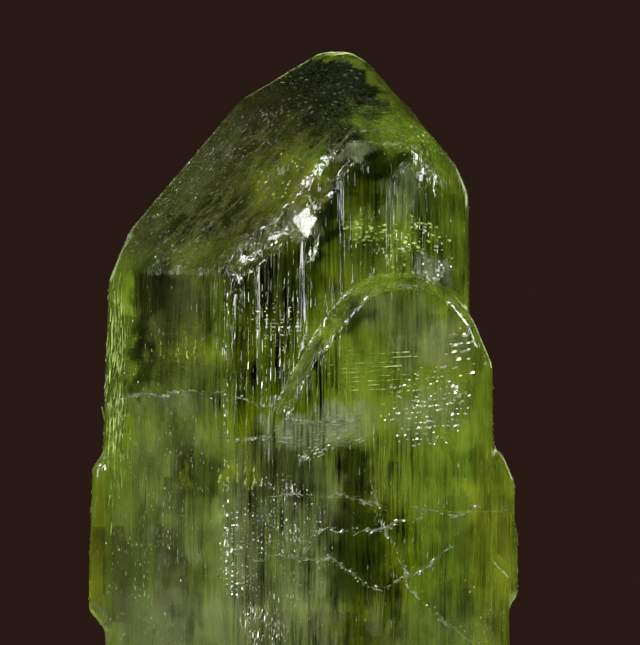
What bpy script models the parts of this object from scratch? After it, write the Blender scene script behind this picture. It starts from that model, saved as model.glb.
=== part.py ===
"""Peridot crystal: a stout olivine prism with a wedge-shaped top and the parallel crystals grown on it.

Every crystal of the group is a block cut by olivine's own faces. A face is given by its Miller indices and
by one point that it passes through, in millimetres. X is the crystals' b axis, -Y their a axis (the front)
and +Z their c axis. The origin is in the middle of the base, where the group broke off its matrix.
"""

import math
import random

import bmesh
import bpy
from mathutils import Matrix, Vector

MM = 0.001

# Driving dimensions, in millimetres
HEIGHT = 29.0
HALF_WIDTH = 8.93
FRONT = -5.6
BACK = 5.6
MAIN_FRONT = -4.6
MAIN_BACK = 5.0
MAIN_LEFT = -8.35
MAIN_RIGHT = 6.86
FRONT_LEFT_EDGE = -2.9
FRONT_LEFT_TOP = 19.9
SLAB_LEFT = -1.44
SLAB_RIGHT = 7.85
SHOULDER_RIGHT = 8.79
SHOULDER_FRONT = -3.9
SHOULDER_BACK = 4.2
FOOT_FRONT = -4.95
FOOT_BACK = 3.9
FOOT_RIGHT = 8.56
STEP_FRONT = -2.7
STEP_BACK = 2.9
BLADE_FRONT = 0.9
BLADE_BACK = 3.1
# Where the shoulder and the step draw in again above the foot
RIGHT_NOTCH = (8.85, 0, 6.3)
# The lower end of the sloping ridge between the front face and the large face of the top
RIDGE_END = (FRONT_LEFT_EDGE, MAIN_FRONT, FRONT_LEFT_TOP)
BELOW_BASE = -3.0
SEED = 7

# Dissolved edges: the least turn that is rounded, how far a corner leans towards the viewer (as the y part
# of its direction), and the length under which an edge is merged
LEAST_TURN = math.radians(9)
CORNER_LEAN = 0.5
SHORT_EDGE = 0.004

# Axial ratios of olivine, which give the angle of every face
RATIO_A = 0.4656
RATIO_B = 1.0
RATIO_C = 0.5865

# Prism faces
A_FRONT = (1, 0, 0)
A_BACK = (-1, 0, 0)
B_LEFT = (0, -1, 0)
B_RIGHT = (0, 1, 0)
M_FRONT_LEFT = (1, -1, 0)
M_FRONT_RIGHT = (1, 1, 0)
S_FRONT_LEFT = (1, -2, 0)
S_FRONT_RIGHT = (1, 2, 0)
S_BACK_LEFT = (-1, -2, 0)
S_BACK_RIGHT = (-1, 2, 0)
R_FRONT_LEFT = (1, -3, 0)
# Prism faces that lean in, because the crystal tapers a little
B_LEFT_TAPER = (0, -50, 1)
B_LEFT_UNDERCUT = (0, -30, -1)
A_FRONT_FADE = (24, 0, 1)
A_FRONT_FADE_LOWER = (24, 0, -1)
# Domes, pyramids and the flat ends
C_TOP = (0, 0, 1)
C_BOTTOM = (0, 0, -1)
H_LEFT = (0, -1, 1)
H_RIGHT = (0, 1, 1)
K_LEFT = (0, -2, 1)
K_RIGHT = (0, 2, 1)
K_LEFT_LOWER = (0, -2, -1)
K_RIGHT_LOWER = (0, 2, -1)
STEEP_LEFT = (0, -4, 1)
STEEP_RIGHT = (0, 4, 1)
SLAB_EDGE_STEEP = (1, -3, 1)
D_FRONT = (1, 0, 1)
D_BACK = (-1, 0, 1)
F_FRONT_LEFT = (1, -2, 1)
F_FRONT_RIGHT = (1, 2, 1)
F_BACK_LEFT = (-1, -2, 1)
F_BACK_RIGHT = (-1, 2, 1)

# The parallel crystals: how round their corners and then their edges have dissolved, and their faces
CRYSTALS = {
    "main": (
        (1.2, 1.2),
        [
            (A_FRONT, (0, MAIN_FRONT, 0)),
            (A_BACK, (0, MAIN_BACK, 0)),
            (B_LEFT_TAPER, (MAIN_LEFT, 0, 12.4)),
            (B_LEFT_UNDERCUT, (-8.27, 0, 4.9)),
            (B_RIGHT, (MAIN_RIGHT, 0, 0)),
            (S_FRONT_LEFT, (FRONT_LEFT_EDGE, MAIN_FRONT, 0)),
            (R_FRONT_LEFT, (-6.6, -1.15, 0)),
            (S_BACK_LEFT, (MAIN_LEFT, 3.0, 0)),
            (S_FRONT_RIGHT, (5.6, MAIN_FRONT, 0)),
            (S_BACK_RIGHT, (4.1, MAIN_BACK, 0)),
            (C_BOTTOM, (0, 0, BELOW_BASE)),
            (C_TOP, (0, 0, HEIGHT)),
            (F_FRONT_LEFT, RIDGE_END),
            (K_LEFT, (-4.5, 0, 24.78)),
            (STEEP_LEFT, (-7.75, 0, 20.35)),
            (F_BACK_LEFT, (-4.7, 1.6, 24.55)),
            (H_LEFT, (-0.73, 0, 28.1)),
            (H_RIGHT, (2.35, 0, 28.76)),
            (D_FRONT, (3.0, MAIN_FRONT, 25.0)),
            (D_BACK, (3.0, MAIN_BACK, 23.2)),
            (F_FRONT_RIGHT, (4.6, MAIN_FRONT, 24.9)),
            (K_RIGHT, (5.94, 0, 24.77)),
            (STEEP_RIGHT, (6.58, 0, 23.75)),
            (F_BACK_RIGHT, (5.94, 2.0, 24.85)),
        ],
    ),
    "front_slab": (
        (1.6, 0.5),
        [
            (A_FRONT, (0, FRONT, 0)),
            (A_BACK, (0, 3.6, 0)),
            (R_FRONT_LEFT, (SLAB_LEFT, MAIN_FRONT, 0)),
            (B_LEFT, (SLAB_LEFT, 0, 0)),
            (B_RIGHT, (SLAB_RIGHT, 0, 0)),
            (S_FRONT_RIGHT, (7.2, FRONT, 0)),
            (S_BACK_RIGHT, (MAIN_RIGHT, 3.2, 0)),
            (C_BOTTOM, (0, 0, BELOW_BASE)),
            (SLAB_EDGE_STEEP, (SLAB_LEFT, MAIN_FRONT, 14.0)),
            (F_FRONT_LEFT, (1.35, MAIN_FRONT, 18.55)),
            (H_LEFT, (2.4, 0, 19.2)),
            (C_TOP, (0, 0, 19.5)),
            (H_RIGHT, (5.6, 0, 19.2)),
            (K_RIGHT, (6.77, 0, 18.2)),
            (STEEP_RIGHT, (7.33, 0, 17.2)),
        ],
    ),
    "right_shoulder": (
        (0.8, 0.6),
        [
            (A_FRONT, (0, SHOULDER_FRONT, 0)),
            (A_BACK, (0, SHOULDER_BACK, 0)),
            (B_LEFT, (0, 0, 0)),
            (B_RIGHT, (SHOULDER_RIGHT, 0, 0)),
            (S_FRONT_RIGHT, (8.2, SHOULDER_FRONT, 0)),
            (S_BACK_RIGHT, (7.2, SHOULDER_BACK, 0)),
            (K_RIGHT, (8.1, 0, 12.42)),
            (STEEP_RIGHT, (8.66, 0, 11.4)),
            (F_BACK_RIGHT, (8.1, 2.0, 12.42)),
            (C_TOP, (0, 0, 13.6)),
            (K_RIGHT_LOWER, RIGHT_NOTCH),
            (C_BOTTOM, (0, 0, 3.0)),
        ],
    ),
    "right_step": (
        (0.3, 0.3),
        [
            (A_FRONT, (0, STEP_FRONT, 0)),
            (A_BACK, (0, STEP_BACK, 0)),
            (B_LEFT, (0, 0, 0)),
            (B_RIGHT, (HALF_WIDTH, 0, 0)),
            (S_FRONT_RIGHT, (8.6, STEP_FRONT, 0)),
            (S_BACK_RIGHT, (8.5, STEP_BACK, 0)),
            (K_RIGHT, (SHOULDER_RIGHT, 0, 9.3)),
            (C_TOP, (0, 0, 9.5)),
            (K_RIGHT_LOWER, RIGHT_NOTCH),
            (C_BOTTOM, (0, 0, 4.0)),
        ],
    ),
    "right_foot": (
        (0.6, 0.5),
        [
            (A_FRONT, (0, FOOT_FRONT, 0)),
            (A_BACK, (0, FOOT_BACK, 0)),
            (B_LEFT, (0, 0, 0)),
            (B_RIGHT, (FOOT_RIGHT, 0, 0)),
            (S_FRONT_RIGHT, (7.7, FOOT_FRONT, 0)),
            (S_BACK_RIGHT, (7.0, FOOT_BACK, 0)),
            (K_RIGHT, (FOOT_RIGHT, 0, 7.2)),
            (C_TOP, (0, 0, 8.2)),
            (C_BOTTOM, (0, 0, BELOW_BASE)),
        ],
    ),
    "left_blade": (
        (0.4, 0.2),
        [
            (A_FRONT, (0, BLADE_FRONT, 0)),
            (A_BACK, (0, BLADE_BACK, 0)),
            (B_LEFT, (-HALF_WIDTH, 0, 0)),
            (B_LEFT_TAPER, (-HALF_WIDTH, 0, 7.0)),
            (B_RIGHT, (-6.5, 0, 0)),
            (K_LEFT, (-8.75, 0, 11.75)),
            (K_LEFT_LOWER, (-8.75, 0, 5.5)),
            (C_TOP, (0, 0, 12.6)),
            (C_BOTTOM, (0, 0, 4.4)),
        ],
    ),
    "back_slab": (
        (1.2, 0.5),
        [
            (A_FRONT, (0, 0, 0)),
            (A_BACK, (0, BACK, 0)),
            (B_LEFT, (-4.6, 0, 0)),
            (B_RIGHT, (3.1, 0, 0)),
            (S_BACK_LEFT, (-3.9, BACK, 0)),
            (S_BACK_RIGHT, (2.3, BACK, 0)),
            (C_BOTTOM, (0, 0, BELOW_BASE)),
            (F_BACK_LEFT, (-3.0, BACK, 12.4)),
            (D_BACK, (0, BACK, 15.2)),
            (F_BACK_RIGHT, (1.2, BACK, 14.6)),
        ],
    ),
}

# Growth layers on the main crystal's own faces: how far each is raised, how far it stays from the
# neighbouring faces, and the height that it ends at
LAYERS = [
    (F_FRONT_LEFT, 0.07, 0.25, 26.9),
    (F_FRONT_LEFT, 0.14, 0.55, 25.2),
    (F_FRONT_LEFT, 0.21, 0.95, 23.1),
    (D_FRONT, 0.21, 0.20, 25.9),
    (D_FRONT, 0.15, 0.22, 26.6),
    (D_FRONT, 0.09, 0.24, 27.4),
    (F_BACK_LEFT, 0.07, 0.3, 25.8),
    (F_BACK_LEFT, 0.16, 0.6, 23.2),
    (D_BACK, 0.22, 0.3, 24.6),
    (D_BACK, 0.12, 0.4, 26.3),
    (F_BACK_RIGHT, 0.10, 0.4, 24.4),
    (K_RIGHT, 0.07, 0.7, 27.0),
]

# A lath is a slim crystal: how deep it is rooted, and, as shares of its width, how far its flanks reach
# from its middle, where its bevelled top starts (sideways and down) and where its bevelled foot starts
# (sideways and up)
LATH_ROOT = 0.45
LATH_FLANK = 0.9
LATH_TOP_BEVEL = (1 / 4, 1 / 3)
LATH_FOOT_BEVEL = (1 / 4, 1 / 5)
# The flutes that end in steps along the front face's slanted top: centre, width, foot, top and relief
FLUTES = [
    (-2.25, 0.95, -2.5, 19.75, 0.12),
    (-1.35, 0.70, 9.5, 20.75, 0.22),
    (-0.50, 0.85, 6.0, 21.60, 0.15),
    (0.38, 0.70, 12.4, 22.65, 0.26),
    (1.22, 0.75, 14.5, 23.70, 0.14),
    (2.15, 0.85, 17.0, 24.50, 0.22),
    (3.20, 0.95, 17.4, 24.60, 0.10),
    (4.25, 0.80, 17.0, 24.25, 0.19),
    (5.15, 0.55, 16.6, 23.40, 0.13),
]
# The finer ribs: how far each strays from its place and how wide it is, both as shares of their pitch, and
# its length
RIB_SWAY = 0.2
RIB_FILL = (0.5, 1.0)
RIB_LENGTH = (6, 14)
# The rows of ribs: the face, where they start, how wide the row is, how many, their tops and their relief
RIB_ROWS = {
    "left_front": (S_FRONT_LEFT, (-6.6, -1.155), 5.0, 6, (9.0, 19.0), (0.03, 0.08)),
    "slab": (A_FRONT, (-0.9, FRONT), 8.0, 11, (5.0, 16.0), (0.02, 0.07)),
    "right": (B_RIGHT, (MAIN_RIGHT, -2.9), 5.4, 5, (21.0, 23.6), (0.03, 0.09)),
    "slab_right": (B_RIGHT, (SLAB_RIGHT, -4.2), 6.4, 6, (12.8, 16.6), (0.03, 0.08)),
    "back": (A_BACK, (4.0, MAIN_BACK), 9.6, 10, (9.0, 21.0), (0.05, 0.14)),
    "back_slab": (A_BACK, (1.8, BACK), 5.2, 5, (4.0, 12.5), (0.03, 0.09)),
    "left_back": (S_BACK_LEFT, (-6.2, MAIN_BACK), 2.2, 3, (10.0, 19.0), (0.04, 0.10)),
}

# Hollows that etching left in the large face of the top: x, z, radius of the flattened ball and depth
HOLLOW_FLATTEN = 0.25
HOLLOWS = [
    (-5.7, 22.1, 1.9, 0.12),
    (-4.0, 21.0, 1.5, 0.09),
    (-3.2, 23.6, 2.3, 0.13),
    (-1.7, 25.4, 1.8, 0.12),
    (-1.0, 23.1, 1.4, 0.09),
    (0.2, 26.3, 1.5, 0.10),
]
# Rows of lozenge-shaped etch pits on the front slab
PIT_ROWS = 4
PITS_IN_ROW = 5
PIT_SIZE = 0.30
PIT_DEPTH = 0.10
PIT_STRETCH = 1.5
PIT_SIDES = 4
PIT_FLOOR = 0.15
PIT_CUTTER_DEPTH = 0.40
PIT_SIZES = (0.6, 1.3)
PIT_SWAY = 0.25
PIT_PITCH_X = 0.74
PIT_PITCH_Z = 0.66
PIT_ROW_RISE = 0.12
PIT_FIRST = (3.4, 15.3)
# The base: the block that is cut away below it, and its broken rim, with the centres of the round cuts
CHIP_RADIUS = 5.0
BLOCK_WIDTH = 50.0
BLOCK_DEPTH = 10.0
CHIPS = [
    (-9.6, -5.4, -2.9),
    (-2.2, -9.0, -2.7),
    (4.4, -9.7, -3.0),
    (11.6, -5.4, -2.4),
    (11.9, 3.1, -3.0),
    (4.9, 9.1, -2.6),
    (-2.6, 9.7, -2.8),
    (-11.5, 3.4, -3.0),
]


def face_normal(indices):
    """The outward normal of the face with these Miller indices."""
    h, k, l = indices
    return Vector((k / RATIO_B, -h / RATIO_A, l / RATIO_C)).normalized()


def make_object(name, bm):
    """Turns a finished bmesh into an object."""
    mesh = bpy.data.meshes.new(name)
    bm.to_mesh(mesh)
    bm.free()
    return bpy.data.objects.new(name, mesh)


def cut(bm, point, normal):
    """Cuts away what lies beyond a plane, and closes the cut."""
    geometry = bm.verts[:] + bm.edges[:] + bm.faces[:]
    made = bmesh.ops.bisect_plane(bm, geom=geometry, plane_co=point, plane_no=normal, clear_outer=True)
    rim = [e for e in made["geom_cut"] if isinstance(e, bmesh.types.BMEdge)]
    if rim:
        bmesh.ops.edgeloop_fill(bm, edges=rim)
        bm.normal_update()


def round_edges(bm, radius, corners_only=False):
    """Trims edges by the plane halfway between their two faces, tangent to a round of this radius.

    A corner here is an edge that runs from front to back, so rounding the corners alone rounds the outline.
    """
    planes = []
    for edge in bm.edges:
        first, second = (face.normal.copy() for face in edge.link_faces)
        direction = (edge.verts[1].co - edge.verts[0].co).normalized()
        turn = first.angle(second)
        if turn > LEAST_TURN and (not corners_only or abs(direction.y) > CORNER_LEAN):
            middle = (first + second).normalized()
            depth = radius * (1 / math.cos(turn / 2) - 1)
            planes.append((edge.verts[0].co - middle * depth, middle))
    for point, normal in planes:
        cut(bm, point, normal)


def cut_crystal(name, faces, corner_radius=0, edge_radius=0):
    """One crystal: a block cut by its faces, sharp or with its corners and edges dissolved."""
    bm = bmesh.new()
    bmesh.ops.create_cube(bm, size=4 * HEIGHT * MM)
    for indices, point in faces:
        cut(bm, Vector(point) * MM, face_normal(indices))
    if corner_radius:
        round_edges(bm, corner_radius * MM, corners_only=True)
        round_edges(bm, edge_radius * MM)
        round_edges(bm, edge_radius * MM)
    bmesh.ops.dissolve_degenerate(bm, dist=SHORT_EDGE * MM, edges=bm.edges[:])
    bmesh.ops.triangulate(bm, faces=[f for f in bm.faces if len(f.verts) > 4])
    return make_object(name, bm)


def growth_layer(name, raised, rise, setback, height):
    """A layer on one face of the main crystal: that face further out, and all its neighbours further in."""
    faces = [(C_TOP, (0, 0, height))]
    for indices, point in CRYSTALS["main"][1]:
        shift = rise if indices == raised else -setback
        faces.append((indices, Vector(point) + face_normal(indices) * shift))
    return cut_crystal(name, faces)


def lath(name, face, start, along, width, foot, top, relief):
    """A slim parallel crystal on a prism face, standing out from it by its relief.

    It is cut as one that lies on the front, centred on x = 0, and then turned to its face. The distance along
    is measured from the starting point, to the right as seen from outside.
    """
    fade_top = (0, -relief, top - width)
    fade_foot = (0, -relief, foot + width)
    faces = [
        (A_FRONT, (0, -relief, 0)),
        (A_BACK, (0, LATH_ROOT, 0)),
        (M_FRONT_LEFT, (-width / 2, -relief, 0)),
        (M_FRONT_RIGHT, (width / 2, -relief, 0)),
        (B_LEFT, (-LATH_FLANK * width, 0, 0)),
        (B_RIGHT, (LATH_FLANK * width, 0, 0)),
        (A_FRONT_FADE, fade_top),
        (A_FRONT_FADE_LOWER, fade_foot),
        (K_LEFT, (-LATH_TOP_BEVEL[0] * width, 0, top - LATH_TOP_BEVEL[1] * width)),
        (H_RIGHT, (0, 0, top)),
        (K_LEFT_LOWER, (0, 0, foot)),
        (K_RIGHT_LOWER, (LATH_FOOT_BEVEL[0] * width, 0, foot + LATH_FOOT_BEVEL[1] * width)),
    ]
    made = cut_crystal(name, faces)
    normal = face_normal(face)
    turn = Matrix.Rotation(math.atan2(normal.x, -normal.y), 4, "Z")
    to_start = Matrix.Translation(Vector((*start, 0)) * MM)
    made.data.transform(to_start @ turn @ Matrix.Translation((along * MM, 0, 0)))
    return made


def flutes():
    """The broad ribs of the front face, which end in steps along its slanted top."""
    return [
        lath(f"flute_{i}", A_FRONT, (0, MAIN_FRONT), centre, width, foot, top, relief)
        for i, (centre, width, foot, top, relief) in enumerate(FLUTES)
    ]


def rib_rows():
    """The fine ribs that stripe the prism faces, side by side and ending at uneven heights."""
    choose = random.Random(SEED)
    ribs = []
    for row, (face, start, length, count, tops, reliefs) in RIB_ROWS.items():
        pitch = length / count
        for i in range(count):
            along = pitch * (i + 0.5 + choose.uniform(-RIB_SWAY, RIB_SWAY))
            width = pitch * choose.uniform(*RIB_FILL)
            top = choose.uniform(*tops)
            foot = BELOW_BASE if row == "slab" else top - choose.uniform(*RIB_LENGTH)
            relief = choose.uniform(*reliefs)
            ribs.append(lath(f"rib_{row}_{i}", face, start, along, width, foot, top, relief))
    return ribs


def growths():
    """Everything that is grown on the main crystal."""
    grown = [
        cut_crystal(name, faces, *radii)
        for name, (radii, faces) in CRYSTALS.items()
        if name != "main"
    ]
    grown += [growth_layer(f"layer_{i}", *layer) for i, layer in enumerate(LAYERS)]
    return grown + flutes() + rib_rows()


def ball(name, centre, radius, axis=Vector((0, 0, 1)), flatten=1):
    """A round cutter, which can be flattened along an axis: for hollows and shell-shaped breaks."""
    bm = bmesh.new()
    bmesh.ops.create_icosphere(bm, subdivisions=3, radius=radius * MM)
    turn = axis.to_track_quat("Z", "Y").to_matrix().to_4x4()
    bm.transform(Matrix.Translation(Vector(centre) * MM) @ turn @ Matrix.Diagonal((1, 1, flatten, 1)))
    return make_object(name, bm)


def etch_hollows():
    """Shallow hollows in the large face at the left of the top."""
    normal = face_normal(F_FRONT_LEFT)
    on_face = Vector(RIDGE_END)
    hollows = []
    for i, (x, z, radius, depth) in enumerate(HOLLOWS):
        y = on_face.y - ((x - on_face.x) * normal.x + (z - on_face.z) * normal.z) / normal.y
        centre = Vector((x, y, z)) + normal * (radius * HOLLOW_FLATTEN - depth)
        hollows.append(ball(f"hollow_{i}", centre, radius, normal, HOLLOW_FLATTEN))
    return hollows


def etch_pits():
    """Lozenge-shaped pits, in slightly rising rows along the front slab's face."""
    choose = random.Random(SEED)
    pits = []
    for row in range(PIT_ROWS):
        for place in range(PITS_IN_ROW):
            size = PIT_SIZE * choose.uniform(*PIT_SIZES)
            x = PIT_FIRST[0] + PIT_PITCH_X * (place + choose.uniform(-PIT_SWAY, PIT_SWAY))
            z = PIT_FIRST[1] - PIT_PITCH_Z * row + PIT_ROW_RISE * place
            bm = bmesh.new()
            bmesh.ops.create_cone(
                bm,
                cap_ends=True,
                segments=PIT_SIDES,
                radius1=PIT_FLOOR * size * MM,
                radius2=size * MM,
                depth=PIT_CUTTER_DEPTH * MM,
            )
            stretch = Matrix.Diagonal((PIT_STRETCH, 1, 1, 1))
            lie = Matrix.Rotation(math.radians(90), 4, "X")
            bm.transform(Matrix.Translation(Vector((x, FRONT - PIT_DEPTH, z)) * MM) @ lie @ stretch)
            pits.append(make_object(f"pit_{row}_{place}", bm))
    return pits


def broken_base():
    """What is missing below: the block under the base, and the shell-shaped chips round its rim."""
    bm = bmesh.new()
    bmesh.ops.create_cube(bm, size=1)
    size = Matrix.Diagonal((BLOCK_WIDTH * MM, BLOCK_WIDTH * MM, BLOCK_DEPTH * MM, 1))
    bm.transform(Matrix.Translation((0, 0, -BLOCK_DEPTH / 2 * MM)) @ size)
    chips = [ball(f"chip_{i}", centre, CHIP_RADIUS) for i, centre in enumerate(CHIPS)]
    return [make_object("under_base", bm)] + chips


def helper_collection(name, objects):
    """A collection of shapes that a Boolean reads, which aren't part of the object by themselves."""
    collection = bpy.data.collections.new(name)
    bpy.context.scene.collection.children.link(collection)
    for obj in objects:
        obj.hide_render = True
        obj.display_type = "WIRE"
        collection.objects.link(obj)
    return collection


def add_boolean(obj, operation, collection):
    modifier = obj.modifiers.new(collection.name, "BOOLEAN")
    modifier.operation = operation
    modifier.operand_type = "COLLECTION"
    modifier.collection = collection
    modifier.solver = "EXACT"


def peridot_material():
    """Clear yellow-green olivine, with its real refractive index."""
    material = bpy.data.materials.new("peridot")
    material.use_nodes = True
    shader = material.node_tree.nodes["Principled BSDF"]
    shader.inputs["Base Color"].default_value = (0.30, 0.44, 0.10, 1)
    shader.inputs["Roughness"].default_value = 0.15
    shader.inputs["Metallic"].default_value = 0
    shader.inputs["IOR"].default_value = 1.67
    shader.inputs["Transmission Weight"].default_value = 0.9
    return material


def main():
    for obj in list(bpy.data.objects):
        bpy.data.objects.remove(obj)
    radii, faces = CRYSTALS["main"]
    crystal = cut_crystal("peridot_crystal", faces, *radii)
    bpy.context.scene.collection.objects.link(crystal)
    crystal.data.materials.append(peridot_material())
    add_boolean(crystal, "UNION", helper_collection("growths", growths()))
    missing = etch_hollows() + etch_pits() + broken_base()
    add_boolean(crystal, "DIFFERENCE", helper_collection("missing", missing))


main()
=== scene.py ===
"""Looks of the peridot crystal: a dissolved, striated skin, the clear stone, and the veils and cracks in it.

Lengths are in millimetres and become metres where an object is made. X runs to the right of the photograph,
-Y towards the camera and Z up the crystal. The origin is in the middle of the base.
"""

import math
import random

import bpy
import numpy as np
from mathutils import Matrix, Vector, noise


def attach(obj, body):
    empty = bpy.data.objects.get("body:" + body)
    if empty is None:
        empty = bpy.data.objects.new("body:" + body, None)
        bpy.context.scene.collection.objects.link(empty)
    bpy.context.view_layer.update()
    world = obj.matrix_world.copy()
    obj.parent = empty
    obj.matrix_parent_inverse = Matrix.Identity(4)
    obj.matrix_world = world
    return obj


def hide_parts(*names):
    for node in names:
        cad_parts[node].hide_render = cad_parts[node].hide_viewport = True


MM = 0.001
SEED = 11

# The camera looks level at the crystal's front. What it sees, in millimetres
VIEW_CENTRE = (0.73, 17.73)
VIEW_HEIGHT = 26.875
CAMERA_DISTANCE = 500.0
SENSOR = 36.0

# The crystal's skin: how finely it is meshed, and how often its edges, and then its worn parts, are smoothed
VOXEL = 0.14
SMOOTHING = 0.5
EDGE_PASSES = 6
WORN_PASSES = 60
# The clouds that raise it: how far they are stretched along x, y and z, their detail and their relief
STRIATION = ((0.55, 0.55, 9), 2, 0.05)
ETCHING = ((0.9, 0.9, 0.9), 3, 0.04)
# A face is striated while its normal leans by less than the first of these, and etched past the second
STRIATED_LEAN = (0.15, 0.4)
ETCHED_LEAN = (0.2, 0.45)
# Where the front is worn the most, so that ribs and edges are nearly gone: middle (x, z), half width, half
# height, turn
DISSOLVED = {
    "left_face": ((-5.9, 15.5), 2.5, 5.2, 0),
    "slope_foot": ((-5.4, 20.0), 2.0, 0.9, 0),
}

# Small facets that cut the sloping ridge and send the light of the key lamp to the camera: middle (x, z),
# half width, half height, turn and how deep each cuts
GLINT_NORMAL = (-0.325, -0.918, 0.227)
GLINT_WAVES = 0.45
GLINT_WAVER = 0.35
# How many times its depth a glint reaches out to what it flattens
GLINT_REACH = 4
GLINTS = [
    ((0.05, 22.0), 0.68, 0.68, 40, 0.19),
    ((-1.25, 21.2), 0.75, 0.30, 35, 0.13),
    ((-2.45, 20.35), 0.55, 0.38, 38, 0.15),
    ((1.05, 23.1), 0.45, 0.22, 42, 0.10),
]

# The floor and the light
FLOOR_RADIUS = 135.0
FLOOR_COLOR = (0.72, 0.70, 0.66)
BACKDROP = (0.021, 0.010, 0.007)
# Soft boxes: where each stands round the crystal (azimuth from the camera's side, elevation), how far, its
# width and height, its power in watts and its colour
CRYSTAL_MIDDLE = (0.0, 0.0, 15.0)
WHITE = (1.0, 0.99, 0.97)
SOFT_BOXES = {
    "key": (-40, 27, 150, 30, 30, 0.048, WHITE),
    "low_left": (-38, 6, 150, 30, 30, 0.030, WHITE),
    "right": (45, 27, 150, 28, 28, 0.056, WHITE),
    "low_right": (52, 14, 150, 30, 30, 0.028, WHITE),
    "front_top": (0, 52, 150, 40, 40, 0.011, WHITE),
    "back_left": (212, 14, 150, 45, 45, 0.008, (0.90, 1.0, 0.60)),
    "back_right": (146, 12, 150, 45, 45, 0.014, (0.90, 1.0, 0.60)),
    "back": (180, 22, 150, 40, 40, 0.014, (0.80, 1.0, 0.40)),
    "side_left": (-78, 22, 150, 36, 36, 0.012, WHITE),
}

# The gem's colour: what is left of white light after it has crossed the stone
GEM_IOR = 1.67
GEM_TINT = (0.77, 0.88, 0.12)
GEM_ABSORPTION = 115.0
GEM_TRANSMISSION = 0.80
SLOPE_ROUGHNESS = 0.14
FROST_ROUGHNESS = 0.3
# The size of the frosted blocks at the back
FROST_BLOCKS = (1.6, 4.0, 3.2)
# The grey of etched skin, and the slope that its scratches follow, in degrees
ETCHED = (0.42, 0.38, 0.17)
SLOPE_TURN = 44.0

# Patterns of the stone's skin: the length of their grains along x, y and z, their detail, the heights of the
# noise between which they rise, and from what to what: relief in millimetres, or a share
PATTERNS = {
    "ribs": ((0.55, 0.55, 9), 1.0, 0.3, 0.7, 0, 0.05),
    "fibres": ((0.14, 0.14, 3.5), 2.0, 0.52, 0.66, 0, 0.020),
    "pits": ((0.7, 0.7, 0.5), 2.0, 0.3, 0.7, 0, 0.045),
    "fine_pits": ((0.13, 0.13, 0.10), 2.0, 0.5, 0.65, 0, 0.024),
    "hairs": ((0.09, 0.09, 1.8), 2.0, 0.38, 0.62, -0.55, 0.35),
    "bands": ((0.5, 0.5, 3.4), 2.0, 0.35, 0.65, -0.35, 0.35),
    "clouds": ((1.3, 1.3, 1.7), 4.0, 0.33, 0.67, 0.6, 1.45),
    "scratches": ((0.7, 0.3, 0.14), 5.0, 0.40, 0.60, 0, 1),
    "blotches": ((1.0, 0.7, 0.5), 5.0, 0.42, 0.58, 0.08, 1.0),
    "arcs": ((1.8, 0.6, 0.09), 2.0, 0.52, 0.66, 0, 0.1),
}
# How strong something is: the two limits of what it depends on, and what it goes from and to between them
FADES = {
    # By how far the face leans
    "prism": (0.15, 0.45, 1, 0),
    "slope": (0.15, 0.45, 0, 1),
    "pitted_left": (-0.1, 0.3, 1, 0.35),
    "left_slope": (-0.3, -0.05, 1, 0.2),
    # By depth
    "back": (0.5, 3.5, 0, 1),
    "pitted_front": (-2, 1, 1, 0.5),
    "streaked_front": (-3, 0, 1, 0.35),
    # By height
    "slope_foot": (20.0, 21.8, 0.15, 1),
    "slope_top": (25.0, 27.0, 1, 0.12),
    "crown": (24.5, 26.0, 0, 1),
    # By what is painted on the skin
    "polished": (0, 1, 1, 0.2),
    "streaked": (0, 1, 0.3, 1),
    # By a noise, or a distance from the middle
    "blocks": (0.3, 0.6, 0, 1),
    "back_roughness": (0, 1, 0.06, 0.45),
    "crack_beads": (0.42, 0.62, 0.15, 0.95),
    "veil_clouds": (0.42, 0.66, 0.02, 0.5),
    "veil_rim": (0.2, 0.48, 1, 0),
    "mark_patches": (0.35, 0.65, 0, 1),
}
# Noises of the other materials: how many grains to the millimetre, and their detail
CRACK_BEADS = (6.0, 2.0)
VEIL_CLOUDS = (0.9, 5.0)
MARK_PATCHES = (2.2, 2.0)
CRACK_COLOR = (0.92, 0.95, 0.85)
VEIL_COLOR = (0.80, 0.90, 0.58)
# The finishes of etch marks: name, dark and light colour, metallic and roughness
FINISHES = {
    "bright": ("bright facets", (0.50, 0.60, 0.30), (0.97, 0.98, 0.90), 0.7, 0.3),
    "dull": ("dull frost", (0.16, 0.20, 0.08), (0.55, 0.60, 0.42), 0.2, 0.5),
    # Lime green flakes: painted glow, laid where light coming through the stone shines green
    "lime": ("painted glow facets", (0.22, 0.36, 0.04), (0.72, 0.92, 0.26), 0.3, 0.4),
}

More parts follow.
